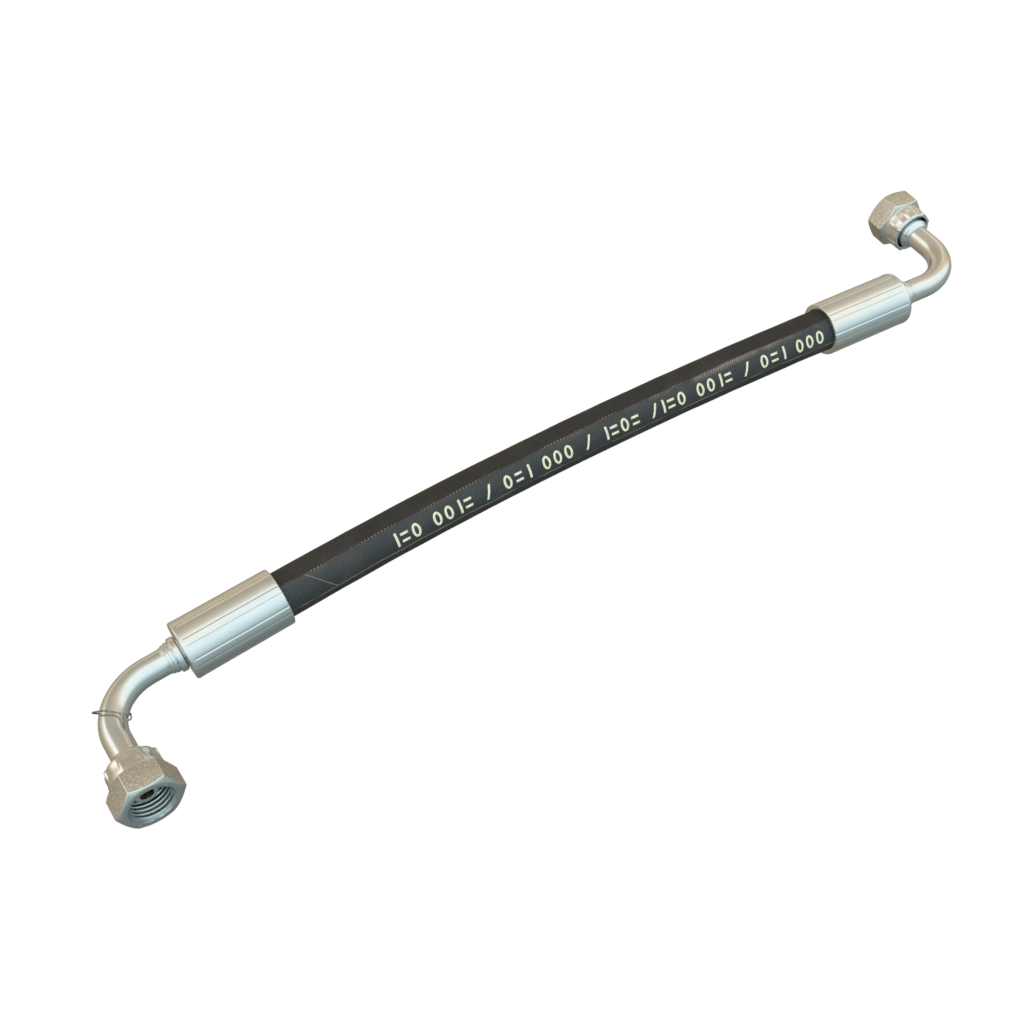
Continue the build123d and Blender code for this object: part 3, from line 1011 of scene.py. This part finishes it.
def nut_courses():
    """The nut's outside as rings from its mouth to its back, then its inside up to the thread."""
    neck_radius, room_radius, lip_radius = 6.45, 6.7, 5.95
    courses = [
        (TURNED, level_ring(8.0, 0.0)),
        (TURNED, level_ring(8.08, 0.02)),
        (TURNED, level_ring(8.16, 0.06)),
        (TURNED, hex_ring(back=False)),
        (FLATS, hex_ring(back=True)),
        (TURNED, level_ring(8.14, NUT_HEX_LENGTH - 0.02)),
        (TURNED, level_ring(8.0, NUT_HEX_LENGTH + 0.03)),
        (TURNED, level_ring(SKIRT_RADIUS, NUT_HEX_LENGTH + 0.12)),
    ]
    stations = (9.2, 9.8, 10.4, 11.1, 11.8, 12.6, 13.2, 13.6, 13.95, 14.2)
    courses += [(TURNED, skirt_ring(station)) for station in stations]
    return courses + [
        (TURNED, skirt_ring(14.2, inset=0.22, shift=NUT_LENGTH - 0.04 - 14.2)),
        (TURNED, level_ring(neck_radius + 0.17, NUT_LENGTH)),
        (TURNED, level_ring(neck_radius, NUT_LENGTH - 0.05)),
        (INSIDE, level_ring(lip_radius, NUT_LENGTH - 1.0)),
        (INSIDE, level_ring(lip_radius, 11.42)),
        (INSIDE, level_ring(room_radius, 11.4)),
        (INSIDE, level_ring(room_radius, THREAD_LENGTH)),
    ]


def round_flats(bm):
    """Narrow bevel on the corners between the flats, and round each flat."""
    seams = [e for e in bm.edges if len(e.link_faces) == 2]
    kinds = {e: [f.material_index == FLATS for f in e.link_faces] for e in seams}
    corners = [e for e in seams if all(kinds[e]) and e.calc_face_angle(0) > radians(20)]
    borders = [e for e in seams if kinds[e][0] != kinds[e][1]]
    bmesh.ops.bevel(
        bm,
        geom=corners + borders,
        offset=0.15 * MM,
        offset_type="OFFSET",
        segments=2,
        profile=0.5,
        affect="EDGES",
        clamp_overlap=True,
        material=TURNED,
    )


def swivel_nut(end, mouth, port_way, finishes):
    bm = bmesh.new()
    top, deep = nut_thread(bm)
    circle, edges = open_circle(bm, 1.0, HEX_STEPS)
    angles = {v: atan2(v.co.y, v.co.x) for v in circle}
    for v in circle:
        v.co = v.co * 6.86 * MM
    bmesh.ops.triangle_fill(bm, use_beauty=True, edges=top + edges, normal=(0, 0, 1))
    kinds = {}
    for kind, shape in nut_courses():
        before = set(bm.faces)
        fresh, edges = grow(bm, edges)
        angles = carried(angles, fresh)
        for v, angle in angles.items():
            radius, station = shape(angle)
            v.co = Vector((cos(angle) * radius, sin(angle) * radius, -station)) * MM
        kinds.update((face, kind) for face in bm.faces if face not in before)
    bmesh.ops.triangle_fill(bm, use_beauty=True, edges=edges + deep, normal=(0, 0, 1))
    bmesh.ops.recalc_face_normals(bm, faces=bm.faces)
    for face in bm.faces:
        on_mouth = face.calc_center_median().z > -0.01 * MM
        face.material_index = kinds.get(face, INSIDE)
        if face.material_index == INSIDE and on_mouth:
            face.material_index = TURNED
    round_flats(bm)
    turn = Matrix.Rotation(radians(NUT_TURN[end]), 4, "Z")
    bmesh.ops.transform(bm, matrix=placed(mouth, port_way) @ turn, verts=bm.verts)
    return finish_mesh(f"union_nut_{end}", bm, finishes, smooth_angle=32)


def tag_wire():
    """Loose ring of soft wire round the bend, its end wound into a small open curl."""
    joint = next(j for j in frame["joints"] if j["name"] == "tag_wire_spin")
    along = Vector(joint["axis"]).normalized()
    inward = UP.cross(along)
    centre = Vector(joint["pos_m"]) / MM - along * 0.9 - inward * 0.65
    lean = radians(30)
    normal = along * cos(lean) - UP * sin(lean)
    tall = normal.cross(inward)
    half_width = TUBE_RADIUS + 1.0
    half_height = (TUBE_RADIUS + 0.35) / cos(lean) + 0.8
    points = []

    # the ring, open at the front, with both its ends bent along the tube
    ring_steps, ring_start, ring_sweep = 40, 350, 295
    for step in range(ring_steps + 1):
        share = step / ring_steps
        degrees = ring_start - ring_sweep * share
        angle = radians(degrees)
        spot = centre + inward * cos(angle) * half_width + tall * sin(angle) * half_height
        dip = max(0.0, (90 - degrees) / 35 * 0.9, (degrees - 290) / 60 * 1.2)
        points.append(spot + normal * 0.5 * (0.5 - share) + along * dip)

    # the curl, about one turn
    curl_steps, curl_start, curl_sweep = 16, 110, 345
    curl_up = (UP * 0.55 - along * 0.83).normalized()
    curl_axis = UP.cross(along).cross(curl_up)
    curl_centre = centre + inward * 6.2 + UP * 2.6 + along * 4.0
    for step in range(curl_steps + 1):
        angle = radians(curl_start - curl_sweep * step / curl_steps)
        reach = 0.72 - 0.006 * step
        around = inward * cos(angle) + curl_up * sin(angle)
        points.append(curl_centre + around * reach + curl_axis * 0.02 * step)

    mesh = smooth_line("tag_wire_line", points, 3, wire_radius=0.235)
    bm = bmesh.new()
    bm.from_mesh(mesh)
    bmesh.ops.remove_doubles(bm, verts=bm.verts, dist=1e-7)
    bpy.data.meshes.remove(mesh)
    return finish_mesh("tag_wire_loop", bm, [wire_finish], smooth_angle=60)


for end in "ab":
    cut, outward, mouth, port_way = fitting_lines(end)
    shell_zinc = zinc(f"ferrule_zinc_{end}", outward, stretch=0.03, smooth=0.20, rough=0.36, bump=0.02)
    tube_zinc = zinc(f"tube_zinc_{end}", outward, stretch=0.6, smooth=0.19, rough=0.30, bump=0.006)
    nose_zinc = zinc(f"nose_zinc_{end}", port_way, stretch=6.0, smooth=0.12, rough=0.28, bump=0.01)
    nut_zinc = zinc(f"nut_zinc_{end}", port_way, stretch=5.0, smooth=0.14, rough=0.32, bump=0.01)
    # the nut's thread and bore get a darker plate: painted shade inside the nut
    shaded_thread_zinc = zinc(
        f"shaded_thread_zinc_{end}", port_way, stretch=6.0, smooth=0.14, rough=0.30, bump=0.01, tints=SHADED_THREAD_TINTS
    )
    pieces = [
        (ferrule(end, cut, outward, shell_zinc), "root", f"ferrule_{end}", "ferrule_zinc"),
        (tail(end, cut, outward, tube_zinc), "root", f"hose_tail_{end}", "tube_zinc"),
        (bent_tube(end, cut, outward, port_way, tube_zinc), "root", f"elbow_tube_{end}", "tube_zinc"),
        (cone_nose(end, mouth, port_way, nose_zinc), "root", f"cone_nose_{end}", "tube_zinc"),
        (o_ring(end, mouth, port_way), "root", f"o_ring_{end}", "seal_rubber"),
        (
            swivel_nut(end, mouth, port_way, [nut_zinc, flats_finish, shaded_thread_zinc]),
            f"nut_{end}",
            f"swivel_nut_{end}",
            "nut_zinc",
        ),
    ]
    for piece, body, cad_node, slot_name in pieces:
        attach(piece, body)
        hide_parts(cad_node)

wire = tag_wire()
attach(wire, "wire")
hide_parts("tag_wire")

for name, finish in (
    ("hose_inner_tube", rubber_inner),
    ("hose_inner_braid", wire_braid),
    ("hose_insulation", rubber_layer),
    ("hose_outer_braid", wire_braid),
):
    for layer_slot in frame["nodes"][name].material_slots:
        layer_slot.material = finish

# ---- Floor and light
def studio_floor():
    """White paper; metal mirrors it as a dim tint, bluish at the front and tan at the back."""
    finish, tree, shader = new_material("studio_floor", roughness=0.9, specular=0.1)
    paper = between(tree, noise_tex(tree, object_coords(tree), 300.0), 0.3, 0.7)
    fibres = mixed(tree, paper, (0.90, 0.90, 0.90, 1), (0.93, 0.93, 0.93, 1))
    tree.links.new(fibres, shader.inputs["Base Color"])
    came_from = tree.nodes.new("ShaderNodeNewGeometry").outputs["Incoming"]
    _, north, downward = node(tree, "ShaderNodeSeparateXYZ", Vector=came_from).outputs
    behind = between(tree, north, -0.2, 0.2, 1.0, 0.0)
    tint = mixed(tree, behind, (0.35, 0.41, 0.40, 1), (0.44, 0.39, 0.31, 1))
    fading = between(tree, downward, 0.3, 0.98, 1.0, 0.5)
    dim = node(tree, "ShaderNodeEmission", Color=tint, Strength=fading)
    white = node(tree, "ShaderNodeEmission", Color=(1, 1, 1, 1), Strength=1.0)
    surface = shader
    for ray_kind, shown in (("Is Glossy Ray", dim), ("Is Camera Ray", white)):
        surface = by_ray(tree, ray_kind, surface, shown)
    tree.links.new(surface.outputs[0], tree.nodes["Material Output"].inputs["Surface"])
    bm = bmesh.new()
    bmesh.ops.create_grid(bm, x_segments=1, y_segments=1, size=3.0)
    return finish_mesh("floor", bm, [finish])


def by_ray(tree, ray_kind, otherwise, shown):
    """Shader that is shown to one kind of ray, and another to the rest."""
    share = tree.nodes.new("ShaderNodeLightPath").outputs[ray_kind]
    return node(tree, "ShaderNodeMixShader", i0=share, i1=otherwise.outputs[0], i2=shown.outputs[0])


# tones of the tent from the front horizon over the top to the back horizon, by angle
TENT_TONES = (
    (0, (0.42, 0.54, 0.56)),
    (15, (0.52, 0.68, 0.71)),
    (29, (0.74, 0.87, 0.90)),
    (45, (0.90, 1.00, 1.02)),
    (65, (0.86, 0.95, 0.96)),
    (82, (1.05, 1.05, 1.00)),
    (95, (0.86, 0.81, 0.72)),
    (108, (0.58, 0.51, 0.41)),
    (126, (0.43, 0.40, 0.325)),
    (148, (0.36, 0.31, 0.24)),
    (166, (0.70, 0.58, 0.43)),
    (180, (0.50, 0.44, 0.34)),
)


def studio_tent(scene):
    """World that lights the metal: the tent's tones, and two bright panels at its back."""
    scene.world = bpy.data.worlds.new("studio")
    scene.world.use_nodes = True
    sky = scene.world.node_tree
    ray = sky.nodes.new("ShaderNodeTexCoord").outputs["Generated"]
    east, north, high = node(sky, "ShaderNodeSeparateXYZ", Vector=ray).outputs
    turn = math_node(sky, "ARCTAN2", high, times(sky, north, -1.0))
    tent = node(sky, "ShaderNodeValToRGB", Fac=math_node(sky, "DIVIDE", turn, pi))
    stops = tent.color_ramp.elements
    for degrees, _ in TENT_TONES[1:-1]:
        stops.new(degrees / 180)
    for stop, (_, tone) in zip(stops, TENT_TONES):
        stop.color = (*tone, 1)
    panel = times(sky, between(sky, north, 0.2, 0.42), between(sky, high, 0.22, 0.42))
    left_side = times(sky, panel, between(sky, east, -0.54, -0.36, 1.0, 0.0))
    right_side = times(sky, panel, between(sky, east, 0.58, 0.74))
    lit = mixed(sky, left_side, tent.outputs[0], (1.12, 1.10, 1.04, 1))
    lit = mixed(sky, right_side, lit, (0.86, 0.75, 0.60, 1))
    light = sky.nodes["Background"]
    sky.links.new(lit, light.inputs["Color"])
    light.inputs["Strength"].default_value = 1.2
    backdrop = node(sky, "ShaderNodeBackground", Color=(1, 1, 1, 1), Strength=1.0)
    shown = by_ray(sky, "Is Camera Ray", light, backdrop)
    sky.links.new(shown.outputs[0], sky.nodes["World Output"].inputs["Surface"])


def softbox(name, place, aim, size, power, colour):
    """Soft lamp that no ray sees or mirrors."""
    light = bpy.data.lights.new(name, "AREA")
    light.shape = "RECTANGLE"
    light.size, light.size_y = size
    light.energy = power
    light.color = colour
    lamp = bpy.data.objects.new(name, light)
    lamp.location = place
    lamp.visible_camera = False
    lamp.visible_glossy = False
    lamp.rotation_euler = (Vector(aim) - Vector(place)).to_track_quat("-Z", "Y").to_euler()
    scene.collection.objects.link(lamp)


scene = bpy.context.scene
scene.view_settings.view_transform = "Standard"
studio_floor()
studio_tent(scene)
softbox("key", (-0.35, -0.55, 1.1), (0, 0, 0), (1.1, 0.7), 5.0, (0.93, 0.98, 1.0))
